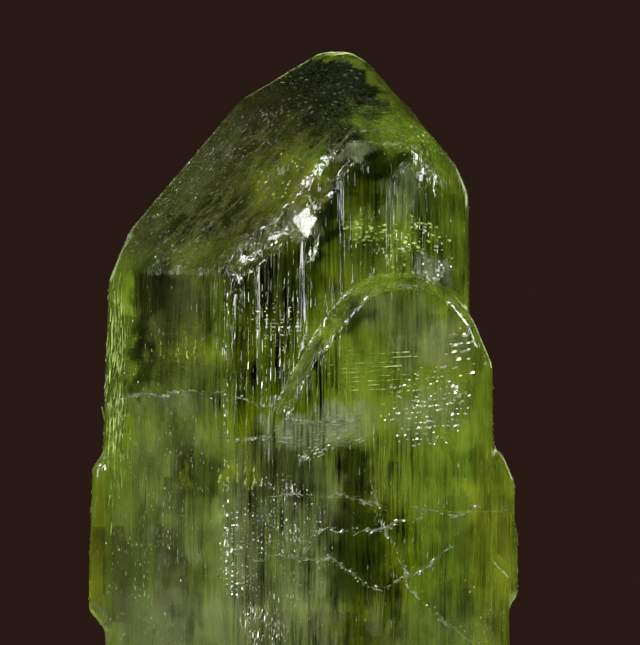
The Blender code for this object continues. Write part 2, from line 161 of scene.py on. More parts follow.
# Healed cracks just under the skin of the front, seen edge on. Each is how deep it runs and the line that it
# follows, as x and z in millimetres
CRACKS = {
    "crack_left": (1.6, [(-7.6, 14.6), (-6.0, 14.8), (-4.4, 14.7), (-2.9, 14.7), (-1.9, 14.4), (-1.2, 14.1)]),
    "crack_middle": (1.2, [(-0.9, 14.0), (-0.3, 13.6), (0.6, 13.6), (1.5, 13.7), (2.3, 13.6)]),
    "crack_short": (1.0, [(-3.3, 12.95), (-2.6, 12.98), (-1.9, 12.9), (-1.3, 12.95)]),
    "crack_bright": (1.2, [(0.0, 12.2), (0.7, 12.3), (1.3, 12.6), (1.9, 12.75), (2.7, 13.1)]),
    "crack_level": (0.9, [(-1.5, 10.55), (-0.4, 10.6), (0.8, 10.5), (1.7, 10.55), (2.6, 10.45), (3.4, 10.1)]),
    "crack_right": (1.1, [(4.6, 10.2), (5.4, 9.95), (6.2, 9.9), (7.1, 9.95), (8.0, 9.85), (8.4, 10.0)]),
    "loop_upper": (1.0, [
        (0.0, 8.2), (0.3, 8.8), (0.9, 9.15), (1.6, 9.1), (2.2, 9.1), (2.8, 9.25), (3.5, 9.4), (4.3, 9.55),
        (5.0, 9.75),
    ]),
    "loop_lower": (1.0, [
        (-2.0, 7.9), (-1.2, 8.1), (0.2, 8.0), (1.2, 8.0), (1.9, 7.6), (2.6, 7.0), (3.5, 6.75), (4.4, 7.2),
        (5.2, 7.8), (6.2, 8.5),
    ]),
    "curve_down": (1.2, [
        (2.8, 11.2), (3.1, 10.2), (3.5, 9.0), (4.1, 7.7), (4.6, 6.6), (5.4, 5.7), (6.4, 5.0), (7.1, 4.4)
    ]),
}
CRACK_THICKNESS = 0.03
# How deep under the skin a crack begins
CRACK_COVER = 0.2
# How finely a crack's strip is cut and how often it is smoothed, and the clouds that make it waver
CRACK_CUTS = 2
CRACK_PASSES = 3
CRACK_WAVER = ((1, 1, 1), 2, 0.2)
CRACK_WAVER_SIZE = 0.6

# Milky veils inside the stone, each a thin bowed sheet of tiny inclusions: its middle (x, y, z), half width,
# half height, how far it is turned round the upright and how far it leans back, in degrees
VEILS = {
    "milk_left": ((-5.1, 0.5, 11.0), 1.7, 2.4, 12, 6),
    "milk_left_high": ((-5.2, 0.3, 15.0), 1.9, 1.3, -10, 14),
    "milk_foot": ((-4.6, 0.5, 4.8), 2.5, 1.7, 8, 16),
    "milk_low": ((-0.7, -0.8, 8.0), 1.8, 2.8, 5, 6),
    "milk_band": ((0.6, -1.2, 13.3), 2.2, 0.9, 6, 18),
    "milk_slab": ((4.4, -1.6, 16.2), 1.7, 1.7, -12, 8),
    "milk_right": ((6.0, 0.6, 6.0), 1.9, 2.6, -10, 10),
    "milk_shoulder": ((3.6, 0.4, 22.2), 1.6, 1.4, 10, 12),
}
VEIL_FACES = 24
VEIL_BOW = ((2.5, 2.5, 2.5), 2, 0.9)
VEIL_THICKNESS = 0.02

# The stone's tints, and the light and shade painted over them: red, green and blue, and how frosted it is
# there, from 0 to 1
TINTS = {
    # Near-black green: painted shade, laid where the stone looks dark because little light comes through it
    "painted_shade": (0.015, 0.030, 0.004, 0.0),
    "brown": (0.070, 0.055, 0.026, 0.3),
    "moss": (0.36, 0.47, 0.02, 0.0),
    "leaf": (0.50, 0.82, 0.09, 0.0),
    # Light green: painted glow, where light comes through the stone, at its rims and over the slab
    "painted_glow": (0.74, 1.00, 0.12, 0.0),
    # Yellow green: painted glow, where light comes through the stone
    "lime": (0.88, 1.00, 0.09, 0.0),
    "milk": (0.64, 0.74, 0.44, 0.9),
    # Pale and frosted: milky, and partly a painted sheen or highlight
    "milk_and_painted_sheen": (0.92, 1.00, 0.66, 1.0),
    # A painted highlight
    "painted_highlight": (1.0, 1.0, 0.90, 1.0),
}
# Zones of the stone in its front view: middle (x, z), half width and half height, how far it is turned
# (degrees), its tint and how strong that is. Later zones lie over earlier ones. Besides the stone's own
# tints, many zones paint light and shade into its colour: painted shade where it looks dark, painted glow
# where light comes through it, and painted highlights and sheen along the ridge and on the sloping face
ZONES = {
    "foot": ((0.0, 7.0), 11.0, 8.0, 0, "moss", 0.95),
    "top": ((-2.4, 24.5), 7.0, 4.0, 44, "brown", 0.82),
    "slab": ((4.4, 15.0), 3.8, 4.8, 0, "painted_glow", 0.8),
    "left_face": ((-5.8, 16.5), 2.8, 4.5, 0, "milk", 0.25),
    "left_foot": ((-5.6, 8.5), 2.8, 5.0, 0, "milk", 0.4),
    "left_sole": ((-5.6, 5.0), 2.8, 1.8, 0, "milk_and_painted_sheen", 0.35),
    "right_foot": ((6.9, 8.0), 2.3, 5.0, 0, "leaf", 0.7),
    # Painted glow along the right edge
    "right_rim": ((8.0, 8.0), 1.2, 5.0, 0, "lime", 0.75),
    "right_sole": ((5.8, 4.8), 2.8, 1.4, 0, "milk", 0.2),
    "middle_foot": ((-0.9, 8.0), 2.6, 4.4, 0, "milk_and_painted_sheen", 0.42),
    "shoulder": ((3.9, 25.6), 2.4, 0.7, -20, "leaf", 0.75),
    "arm": ((5.4, 22.6), 1.4, 3.2, 8, "leaf", 0.5),
    # Painted shade on the arm
    "arm_shade": ((3.4, 22.2), 2.4, 1.8, 0, "painted_shade", 0.5),
    "top_dark": ((-2.0, 26.2), 3.0, 0.9, 40, "brown", 0.95),
    # Painted grey sheen on the sloping face
    "top_painted_sheen": ((-4.0, 24.6), 2.2, 0.45, 47, "milk", 0.22),
    "top_painted_sheen_low": ((-5.0, 22.9), 2.0, 0.4, 47, "milk", 0.22),
    # Painted shade on the sloping face, over the crest and on the apex
    "top_left_dark": ((-4.0, 22.0), 2.4, 0.5, 14, "painted_shade", 0.85),
    "crest_dark": ((0.8, 26.4), 1.15, 1.9, 14, "painted_shade", 0.97),
    "cap": ((1.6, 27.8), 2.2, 0.85, -8, "painted_shade", 1.0),
    # Painted glow along the rims of the apex
    "cap_rim": ((1.5, 28.85), 1.4, 0.25, 0, "painted_glow", 1.0),
    "cap_rim_right": ((3.2, 27.9), 1.3, 0.3, -52, "painted_glow", 0.7),
    # Painted glow below the apex
    "top_glow": ((-0.7, 23.6), 1.6, 1.2, 40, "lime", 0.5),
    "top_glow_right": ((0.3, 24.5), 0.7, 0.6, 0, "leaf", 0.6),
    # Faint painted glow on the sloping face
    "top_olive": ((-3.9, 20.2), 1.5, 1.0, 0, "lime", 0.2),
    # Painted shade under the arch
    "arch_dark": ((3.2, 24.1), 1.8, 0.75, -6, "painted_shade", 0.9),
    "arch_milk": ((2.1, 24.7), 0.8, 0.28, 30, "milk_and_painted_sheen", 0.7),
    "arm_milk": ((4.1, 22.8), 0.8, 0.9, 0, "milk", 0.55),
    "arm_green": ((3.6, 21.2), 2.6, 1.6, 0, "leaf", 0.35),
    # Painted glow on the arm and, lowest, a painted highlight
    "arm_glow": ((2.4, 21.8), 0.5, 0.5, 0, "painted_glow", 0.9),
    "arm_glow_right": ((4.7, 21.4), 0.9, 0.5, -20, "painted_glow", 0.8),
    "arm_glow_left": ((3.9, 20.3), 0.8, 0.35, 0, "painted_glow", 0.8),
    "arm_glow_low": ((5.2, 19.8), 0.7, 0.5, -50, "painted_highlight", 0.8),
    # Painted shade beside the ridge
    "ridge_dark": ((1.0, 21.9), 0.5, 1.9, -22, "painted_shade", 0.97),
    # Painted highlights along the ridge, round the glints
    "ridge_light": ((0.1, 21.8), 0.6, 0.6, 0, "milk_and_painted_sheen", 0.5),
    "ridge_light_left": ((-1.3, 21.2), 0.9, 0.35, 28, "milk_and_painted_sheen", 0.5),
    "ridge_light_low": ((-2.4, 20.4), 0.6, 0.35, 35, "milk_and_painted_sheen", 0.6),
    # Painted shade over the flutes and in the gap beside them
    "flute_dark": ((-1.0, 19.4), 2.3, 1.3, 10, "painted_shade", 0.75),
    "flute_dark_low": ((-1.7, 16.2), 1.6, 1.9, 0, "painted_shade", 0.35),
    "flute_gap": ((2.0, 17.9), 0.8, 0.8, 50, "painted_shade", 0.8),
    # Painted shade on the left face
    "left_dark": ((-6.3, 19.2), 1.0, 1.2, 0, "painted_shade", 0.75),
    "left_dark_low": ((-6.9, 16.4), 0.7, 1.7, 0, "painted_shade", 0.85),
    # Painted glow in bars on the left face
    "left_bars": ((-4.6, 16.5), 1.5, 0.5, 0, "lime", 0.4),
    # Painted glow along the left edge
    "left_rim": ((-8.0, 15.5), 0.9, 5.2, 0, "painted_glow", 1.0),
    "left_veil": ((-5.6, 14.4), 2.3, 0.4, 0, "milk", 0.6),
    # Painted shade where the dark room shows through the left face
    "left_window": ((-4.4, 11.4), 0.9, 1.1, 0, "painted_shade", 0.6),
    # Painted glow in the left window and in bars low down
    "left_window_glow": ((-4.8, 11.5), 0.22, 0.6, 0, "lime", 0.8),
    "low_bar": ((-3.2, 11.5), 0.26, 0.7, 0, "lime", 0.9),
    "low_bar_right": ((-2.0, 11.4), 0.24, 0.6, 0, "lime", 0.8),
    # Painted shade in the middle, and where the dark room shows straight through the stone
    "middle_dark": ((-0.6, 11.3), 1.4, 1.0, 0, "painted_shade", 0.55),
    "middle_shade": ((-0.9, 9.3), 2.0, 2.2, 0, "painted_shade", 0.3),
    "window": ((2.2, 8.3), 1.1, 2.3, 0, "painted_shade", 0.84),
    "window_high": ((2.2, 11.6), 0.7, 1.1, 0, "painted_shade", 0.8),
    # Painted glow over the slab
    "slab_glow": ((2.7, 16.2), 1.5, 0.45, 0, "leaf", 0.5),
    "slab_milk": ((5.2, 16.8), 1.6, 1.0, 10, "milk_and_painted_sheen", 0.4),
    "slab_crown": ((4.0, 18.2), 1.6, 0.7, -8, "milk_and_painted_sheen", 0.3),
    "slab_pits": ((5.2, 14.0), 1.5, 1.0, 20, "milk", 0.5),
    "veil": ((0.6, 13.4), 2.2, 0.75, 10, "milk_and_painted_sheen", 0.75),
    # Painted glow along the left blade
    "left_blade": ((-8.7, 9.0), 0.4, 3.6, 0, "lime", 0.8),
}
ZONE_WAVER = 0.6
ZONE_WAVES = 0.7
# How much of a zone shows on the back's skin, and the depths between which it fades to that
ZONE_BEHIND = 0.5
ZONE_FADE = (-1.0, 2.0)
# Where the prism faces are striated the most: middle, half width and half height, turn and strength
CALM = 0.22
STRIATED_ZONES = {
    "flutes": ((-1.1, 17.4), 2.9, 5.2, 0, 1.0),
    "arm": ((3.4, 21.8), 3.6, 3.2, 0, 0.5),
    "left_face": ((-4.2, 17.5), 1.4, 3.6, 0, 0.35),
    "low_middle": ((-0.6, 8.0), 2.8, 5.5, 0, 0.7),
    "slab_foot": ((3.4, 9.5), 1.6, 4.6, 0, 0.6),
}

# Etch marks: the side that they are seen from (degrees round the crystal, 0 in front and 90 at the right),
# the part that they cover there (middle, half width, half height, turn), the columns and rows that they keep
# to (0 where they lie anywhere), how many there are, how wide and how tall the largest is and their finish
ETCH_MARKS = {
    "slab_rows": (0, (5.1, 14.3), 2.0, 1.9, 5, (0, 17), 330, 0.16, 0.08, "bright"),
    "slab_blobs": (0, (6.2, 14.8), 1.1, 0.5, 5, (0, 0), 14, 0.34, 0.20, "bright"),
    "slab_upper": (0, (6.6, 16.4), 0.9, 1.3, 6, (0, 8), 40, 0.34, 0.13, "bright"),
    # Painted glow: lime bars over the slab
    "slab_bars": (0, (3.0, 15.8), 1.9, 1.1, 3, (0, 12), 160, 0.50, 0.04, "lime"),
    "ridge_hatch": (0, (-1.0, 17.7), 1.3, 1.2, 0, (8, 15), 150, 0.12, 0.05, "bright"),
    "ridge_sparks": (0, (-0.9, 21.4), 2.2, 0.5, 38, (0, 0), 90, 0.16, 0.07, "bright"),
    "ridge_light_right": (0, (0.45, 20.7), 0.16, 0.5, -18, (0, 0), 40, 0.10, 0.30, "bright"),
    "flute_streaks": (0, (-1.2, 17.6), 2.2, 3.8, 0, (24, 0), 230, 0.030, 0.60, "bright"),
    "arm_streaks": (0, (4.0, 21.2), 2.8, 1.8, 0, (30, 0), 70, 0.030, 0.30, "bright"),
    "arm_sparks": (0, (4.6, 20.6), 2.0, 1.2, -20, (0, 0), 60, 0.18, 0.12, "bright"),
    "arm_light": (0, (5.3, 19.8), 0.5, 0.7, 35, (0, 0), 50, 0.14, 0.22, "bright"),
    # Painted glow: lime flakes on the arm, the shoulder and below the apex
    "arm_flakes": (0, (2.6, 21.6), 0.9, 0.7, 0, (0, 0), 70, 0.26, 0.09, "lime"),
    "arm_flakes_right": (0, (4.7, 21.3), 1.3, 0.9, -20, (0, 0), 70, 0.26, 0.09, "lime"),
    "shoulder_flakes": (0, (5.0, 25.2), 1.2, 0.8, -30, (0, 0), 60, 0.14, 0.06, "lime"),
    "glow_flakes": (0, (-0.9, 23.8), 1.5, 1.0, 40, (0, 0), 40, 0.12, 0.08, "lime"),
    # Painted glow: lime bars on the left face and low down
    "left_bars": (0, (-4.8, 16.6), 1.6, 0.5, 0, (9, 0), 30, 0.08, 0.34, "lime"),
    "low_bars": (0, (-2.7, 11.5), 1.2, 0.6, 0, (7, 0), 45, 0.08, 0.34, "lime"),
    "edge_line": (0, (-3.15, 13.0), 0.12, 7.0, 0, (2, 0), 150, 0.06, 0.20, "bright"),
    "edge_column": (0, (-2.8, 8.2), 0.65, 2.2, 0, (6, 40), 300, 0.09, 0.07, "bright"),
    "middle_hatch": (0, (-0.9, 9.8), 1.9, 1.7, 0, (22, 34), 300, 0.05, 0.10, "bright"),
    "veil": (0, (0.7, 13.3), 2.4, 0.7, 8, (0, 0), 230, 0.40, 0.035, "dull"),
    "veil_light": (0, (0.6, 12.5), 1.0, 0.25, 22, (0, 0), 50, 0.20, 0.06, "bright"),
    "low_hatch": (0, (-0.8, 8.0), 2.2, 4.0, 0, (34, 60), 620, 0.05, 0.10, "dull"),
    "bottom_hatch": (0, (-1.5, 5.4), 1.1, 1.2, 0, (22, 0), 170, 0.045, 0.26, "bright"),
    "left_flecks": (0, (-5.6, 9.0), 2.8, 5.6, 0, (0, 0), 320, 0.035, 0.20, "dull"),
    "left_sparks": (0, (-5.6, 9.0), 2.8, 5.8, 0, (0, 0), 50, 0.05, 0.13, "bright"),
    # Painted glow: lime flakes make the bright green strip along the left edge
    "left_strip": (0, (-7.75, 15.0), 0.55, 5.2, 0, (17, 0), 380, 0.05, 1.20, "lime"),
    "left_high": (0, (-5.8, 17.2), 2.3, 3.0, 0, (0, 0), 50, 0.035, 0.14, "dull"),
    "slab_low": (0, (4.4, 9.0), 2.9, 4.6, 0, (50, 0), 110, 0.026, 0.36, "dull"),
    "right_foot": (0, (7.6, 6.0), 1.1, 2.2, 0, (0, 0), 90, 0.07, 0.09, "dull"),
    "shoulder": (0, (4.8, 25.0), 1.6, 1.2, -40, (0, 0), 50, 0.05, 0.10, "dull"),
    "top_left": (0, (-3.4, 23.4), 5.6, 1.9, 44, (0, 40), 420, 0.20, 0.018, "dull"),
    "top_sparks": (0, (-4.2, 23.2), 4.6, 1.6, 44, (0, 0), 70, 0.07, 0.03, "bright"),
    "crown": (0, (1.2, 27.2), 2.8, 1.5, -6, (0, 44), 80, 0.22, 0.018, "dull"),
    "right_side": (90, (0.0, 12.0), 4.0, 9.0, 0, (30, 0), 260, 0.04, 0.30, "dull"),
    "right_side_sparks": (90, (0.0, 12.0), 4.0, 9.0, 0, (0, 0), 90, 0.08, 0.12, "bright"),
    "right_side_top": (90, (0.0, 24.5), 3.6, 3.4, 0, (0, 40), 240, 0.16, 0.022, "dull"),
    "back_rows": (180, (1.0, 15.0), 5.0, 4.5, 6, (0, 24), 260, 0.20, 0.07, "bright"),
    "back_streaks": (180, (-1.0, 11.0), 6.8, 9.5, 0, (60, 0), 420, 0.035, 0.50, "dull"),
    "back_low": (180, (-2.0, 6.0), 5.5, 4.0, 0, (50, 40), 300, 0.06, 0.12, "dull"),
    "back_top": (180, (1.0, 24.5), 5.0, 3.0, -30, (0, 40), 400, 0.16, 0.022, "dull"),
    "left_side": (270, (0.0, 11.0), 4.0, 8.5, 0, (30, 0), 240, 0.04, 0.30, "dull"),
    "left_side_sparks": (270, (0.0, 11.0), 4.0, 8.5, 0, (0, 0), 80, 0.07, 0.12, "bright"),
    "left_side_top": (270, (0.0, 24.0), 3.4, 3.4, 0, (0, 40), 240, 0.16, 0.022, "dull"),
}
MARK_THICKNESS = 0.02
# How much of a mark's side its cut corners take
MARK_CORNER = 0.3
# How the marks' number falls towards a patch's rim, and the smallest of them
PATCH_RIM = (0.5, 1.1)
LEAST_MARK = 0.3
LEAST_CRACK_MARK = 0.25
# Rays that look for the skin start this far out
OUTSIDE = 30.0
# How far the etch marks turn away from the glints' direction, in degrees
ETCH_SWAY = 14.0
# Where a healed crack comes to the skin: threads along it, and beads. For each, the pitch, how far they stray
# from the line, the width and height of the largest, how much they clump and their finish
CRACK_MARKS = {
    "threads": (0.03, 0.035, (0.40, 0.035), 0.65, "dull"),
    "beads": (0.08, 0.07, (0.11, 0.07), 0.75, "bright"),
}
# How far and over what length a crack's line wavers, and how far its threads turn away from it, in degrees
CRACK_SWAY = 0.26
CRACK_WAVES = 0.8
THREAD_SWAY = 16.0
# How far etch marks gather in clumps, from 0 to 1, and how large a clump is
CLUMPING = 0.75
CLUMP_SIZE = 0.9
# Where the noise that sets the clumps is low and high
CLUMP_RISE = (0.3, 0.75)

# Zones have soft edges: they end this far out, as a share of their half width, and fade over this share of it
ZONE_END = 1.25
ZONE_EDGE = 0.6


def select_only(obj):
    bpy.ops.object.select_all(action="DESELECT")
    obj.select_set(True)
    bpy.context.view_layer.objects.active = obj


def apply_modifier(obj, name, kind, **settings):
    """Adds a modifier with these settings and applies it."""
    modifier = obj.modifiers.new(name, kind)
    for key, value in settings.items():
        setattr(modifier, key, value)
    select_only(obj)
    bpy.ops.object.modifier_apply(modifier=name)


def solid_copy(node, name):
    """A merged copy of a CAD solid's mesh, as a new object."""
    obj = bpy.data.objects.new(name, node.data.copy())
    bpy.context.scene.collection.objects.link(obj)
    select_only(obj)
    bpy.ops.object.mode_set(mode="EDIT")
    bpy.ops.mesh.select_all(action="SELECT")
    bpy.ops.mesh.remove_doubles(threshold=0.0005 * MM)
    bpy.ops.mesh.normals_make_consistent(inside=False)
    bpy.ops.object.mode_set(mode="OBJECT")
    return obj


def vertex_mask(obj, name, weight):
    """A vertex group whose weights come from weight(vertex)."""
    group = obj.vertex_groups.new(name=name)
    for vertex in obj.data.vertices:
        value = weight(vertex)
        if value > 0:
            group.add([vertex.index], value, "REPLACE")
    return group.name


def weather(obj, name, stretch, detail, relief, size=1, mask=""):
    """Raises the skin, or its masked part, by a cloud pattern that is stretched along the axes."""
    texture = bpy.data.textures.new(name, "CLOUDS")
    texture.noise_scale = size
    texture.noise_depth = detail
    bpy.ops.object.empty_add(location=(0, 0, 0), rotation=(0, 0, 0))
    ruler = bpy.context.active_object
    ruler.scale = Vector(stretch) * MM
    bpy.context.view_layer.update()
    apply_modifier(
        obj, name, "DISPLACE", texture=texture, texture_coords="OBJECT", texture_coords_object=ruler,
        strength=relief * MM, mid_level=0.5, vertex_group=mask,
    )
    bpy.data.objects.remove(ruler)


def smooth_step(value, low, high):
    share = min(max((value - low) / (high - low), 0), 1)
    return share * share * (3 - 2 * share)


def cut_glints(crystal):
    """Flattens the skin round a few places to facets that face along the glints' normal."""
    normal = np.array(GLINT_NORMAL) / np.linalg.norm(GLINT_NORMAL)
    places = skin_places(crystal.data)
    x, z = wavering(places, GLINT_WAVES, GLINT_WAVER)
    for middle, half_width, half_height, turn, depth in GLINTS:
        spot = np.array(on_skin(crystal, *middle)) / MM - normal * depth
        beyond = np.maximum((places - spot) @ normal, 0)
        near = (places[:, 1] < 0) * (beyond < GLINT_REACH * depth)
        share = cover(x, z, middle, half_width, half_height, turn) * near
        places -= normal * (beyond * share)[:, None]
    crystal.data.vertices.foreach_set("co", (places * MM).ravel())
    crystal.data.update()


def make_crystal(node):
    """The crystal's skin: the solid with its edges dissolved, its prism faces striated and its top etched."""
    crystal = solid_copy(node, "crystal")
    apply_modifier(crystal, "skin", "REMESH", mode="VOXEL", voxel_size=VOXEL * MM, use_smooth_shade=True)
    apply_modifier(crystal, "dissolve", "SMOOTH", factor=SMOOTHING, iterations=EDGE_PASSES)
    places = skin_places(crystal.data)
    worn = np.max([cover(places[:, 0], places[:, 2], *area) for area in DISSOLVED.values()], axis=0)
    worn_group = vertex_mask(crystal, "worn", lambda v: worn[v.index] * (v.normal.y < 0))
    apply_modifier(
        crystal, "wear", "SMOOTH", factor=SMOOTHING, iterations=WORN_PASSES, vertex_group=worn_group
    )
    lines = striated(places)
    prism = vertex_mask(
        crystal, "prism", lambda v: lines[v.index] * (1 - smooth_step(abs(v.normal.z), *STRIATED_LEAN))
    )
    slopes = vertex_mask(crystal, "slopes", lambda v: smooth_step(v.normal.z, *ETCHED_LEAN))
    weather(crystal, "striation", *STRIATION, mask=prism)
    weather(crystal, "etching", *ETCHING, mask=slopes)
    crystal.vertex_groups.clear()
    cut_glints(crystal)
    select_only(crystal)
    bpy.ops.object.shade_smooth()
    return crystal


def cover(x, z, middle, half_width, half_height, turn):
    """How much a rectangle with soft edges and round corners covers each place, from 0 to 1."""
    across = math.cos(math.radians(turn))
    up = math.sin(math.radians(turn))
    along = ((x - middle[0]) * across + (z - middle[1]) * up) / half_width
    over = ((z - middle[1]) * across - (x - middle[0]) * up) / half_height
    share = np.clip((ZONE_END - (along ** 4 + over ** 4) ** 0.25) / ZONE_EDGE, 0, 1)
    return share * share * (3 - 2 * share)


def wavering(places, waves, sway):
    """The x and z of these places, moved a little by a noise, so that what is drawn has uneven edges."""
    drift = np.array([noise.turbulence_vector(Vector(p) / waves, 3, False) for p in places])
    return places[:, 0] + sway * drift[:, 0], places[:, 2] + sway * drift[:, 2]


def skin_places(mesh):
    """The places of a mesh's vertices, in millimetres."""
    places = np.empty(len(mesh.vertices) * 3)
    mesh.vertices.foreach_get("co", places)
    return places.reshape(-1, 3) / MM


def striated(places):
    """How strongly each place on the prism faces is striated, from 0 to 1."""
    strength = np.full(len(places), CALM)
    for middle, half_width, half_height, turn, most in STRIATED_ZONES.values():
        share = cover(places[:, 0], places[:, 2], middle, half_width, half_height, turn)
        strength = np.maximum(strength, most * share)
    return strength


def paint_zones(crystal):
    """Writes the stone's tint with painted light and shade, and its frost, zone by zone, its striation and
    its polish as attributes.
    """
    mesh = crystal.data
    places = skin_places(mesh)
    x, z = wavering(places, ZONE_WAVES, ZONE_WAVER)
    seen = np.interp(places[:, 1], ZONE_FADE, (1, ZONE_BEHIND))
    paint = np.tile(TINTS["moss"], (len(places), 1))
    for middle, half_width, half_height, turn, tint_and_painted_light, strength in ZONES.values():
        share = strength * seen * cover(x, z, middle, half_width, half_height, turn)
        paint += (np.array(TINTS[tint_and_painted_light]) - paint) * share[:, None]
    polish = np.zeros(len(places))
    for middle, half_width, half_height, turn, _ in GLINTS:
        share = cover(places[:, 0], places[:, 2], middle, half_width, half_height, turn)
        polish = np.maximum(polish, share)
    mesh.attributes.new("tint_and_painted_light", "FLOAT_VECTOR", "POINT").data.foreach_set("vector", paint[:, :3].ravel())
    for name, values in {"frost": paint[:, 3].copy(), "striated": striated(places), "polish": polish}.items():
        mesh.attributes.new(name, "FLOAT", "POINT").data.foreach_set("value", values)


def on_skin(crystal, x, z, side=0):
    """Where the crystal's skin lies at this place in its view from one side, or None beside the crystal."""
    turn = Matrix.Rotation(math.radians(side), 3, "Z")
    hit, spot, _, _ = crystal.ray_cast(turn @ Vector((x, -OUTSIDE, z)) * MM, turn @ Vector((0, 1, 0)))
    return spot if hit else None


def strip(name, points, depth):
    """A strip of faces that runs back from a line of points by its depth."""
    back = Vector((0, depth, 0)) * MM
    bpy.ops.object.select_all(action="DESELECT")
    bpy.ops.mesh.primitive_plane_add(size=1)
    obj = bpy.context.active_object
    obj.name = name
    corners = (points[0], points[1], points[0] + back, points[1] + back)
    for vertex, corner in zip(obj.data.vertices, corners):
        vertex.co = corner
    last = {1, 3}
    for edge in obj.data.edges:
        edge.select = set(edge.vertices) == last
    for vertex in obj.data.vertices:
        vertex.select = vertex.index in last
    for face in obj.data.polygons:
        face.select = False
    bpy.ops.object.mode_set(mode="EDIT")
    bpy.ops.mesh.select_mode(type="EDGE")
    for previous, point in zip(points[1:], points[2:]):
        bpy.ops.mesh.extrude_edges_move(TRANSFORM_OT_translate={"value": point - previous})
    bpy.ops.mesh.select_all(action="SELECT")
    bpy.ops.mesh.subdivide(number_cuts=CRACK_CUTS)
    bpy.ops.mesh.vertices_smooth(factor=SMOOTHING, repeat=CRACK_PASSES)
    bpy.ops.object.mode_set(mode="OBJECT")
    return obj


def make_crack(name, crystal, depth, line):
    """A healed crack: a thin, wavering sheet inside the crystal that the camera sees edge on."""
    under = Vector((0, CRACK_COVER, 0)) * MM
    crack = strip(name, [on_skin(crystal, x, z) + under for x, z in line], depth)
    apply_modifier(crack, "round", "SUBSURF", levels=1, render_levels=1)
    weather(crack, "waver", *CRACK_WAVER, size=CRACK_WAVER_SIZE)
    apply_modifier(crack, "body", "SOLIDIFY", thickness=CRACK_THICKNESS * MM, offset=0)
    return crack


def make_veil(name, middle, half_width, half_height, turn, lean):
    """A milky veil: a thin, bowed sheet that stands inside the crystal."""
    bpy.ops.object.select_all(action="DESELECT")
    bpy.ops.mesh.primitive_grid_add(
        x_subdivisions=VEIL_FACES, y_subdivisions=VEIL_FACES, size=2,
        location=Vector(middle) * MM, rotation=(math.radians(90 - lean), 0, math.radians(turn)),
    )
    veil = bpy.context.active_object
    veil.name = name
    veil.scale = (half_width * MM, half_height * MM, 1)
    bpy.ops.object.transform_apply(location=True, rotation=True, scale=True)
    weather(veil, "bow", *VEIL_BOW)
    apply_modifier(veil, "body", "SOLIDIFY", thickness=VEIL_THICKNESS * MM, offset=0)
    return veil


def etch_mark():
    """The shape of one etch mark: a low lozenge with cut corners, one unit wide, long and thick."""
    bpy.ops.object.select_all(action="DESELECT")
    bpy.ops.mesh.primitive_cube_add(size=1)
    mark = bpy.context.active_object
    mark.name = "etch_mark"
    bpy.ops.object.mode_set(mode="EDIT")
    bpy.ops.mesh.select_all(action="SELECT")
    bpy.ops.mesh.bevel(offset=MARK_CORNER, segments=1, affect="VERTICES")
    bpy.ops.object.mode_set(mode="OBJECT")
    return mark


def lay_marks(name, shape, crystal, choose, places, side=0):
    """Copies of the mark on the skin, joined in one mesh.

    A place is x, z, width, height and turn (in degrees), all as seen from that side.
    """
    round_to = Matrix.Rotation(math.radians(side), 3, "Z")
    points, faces = [], []
    for x, z, width, height, turned in places:
        spot = on_skin(crystal, x, z, side)
        if spot is None:
            continue
        sway = Vector([choose.gauss(0, math.radians(ETCH_SWAY)) for _ in range(3)])
        spin = Matrix.Rotation(math.radians(turned), 3, "Z")
        turn = (round_to @ Vector(GLINT_NORMAL) + sway).to_track_quat("Z", "Y").to_matrix() @ spin
        size = Vector((width, height, MARK_THICKNESS)) * MM
        base = len(points)
        points += [spot + turn @ (vertex.co * size) for vertex in shape.data.vertices]
        faces += [[base + i for i in face.vertices] for face in shape.data.polygons]
    mesh = bpy.data.meshes.new(name)
    mesh.from_pydata(points, [], faces)
    obj = bpy.data.objects.new(name, mesh)
    bpy.context.scene.collection.objects.link(obj)
    return obj


def on_lattice(share, lines):
    """Moves a share from -1 to 1 to the middle of the nearest of that many lines, if there are any."""
    if not lines:
        return share
    return (math.floor((share + 1) / 2 * lines) + 0.5) / lines * 2 - 1


def is_bare(choose, x, z, clumping):
    """Whether this place lies between clumps and stays bare."""
    thick = 0.5 + noise.noise(Vector((x, 0, z)) / CLUMP_SIZE)
    return choose.random() < clumping * (1 - smooth_step(thick, *CLUMP_RISE))


def etch_places(choose, middle, half_width, half_height, turn, lattice, count, width, height):
    """Where the etch marks of one patch lie, thinning out towards its rim, and how large each is."""
    across = math.cos(math.radians(turn))
    up = math.sin(math.radians(turn))
    places = []
    while len(places) < count:
        along = choose.uniform(-1, 1)
        over = choose.uniform(-1, 1)
        if choose.random() < smooth_step(math.hypot(along, over), *PATCH_RIM):
            continue
        along = on_lattice(along, lattice[0]) * half_width + choose.gauss(0, width / 3)
        over = on_lattice(over, lattice[1]) * half_height + choose.gauss(0, height / 3)
        x = middle[0] + along * across - over * up
        z = middle[1] + along * up + over * across
        if not is_bare(choose, x, z, CLUMPING):
            size = choose.uniform(LEAST_MARK, 1.0) ** 2
            places.append((x, z, width * size, height * size, turn))
    return places


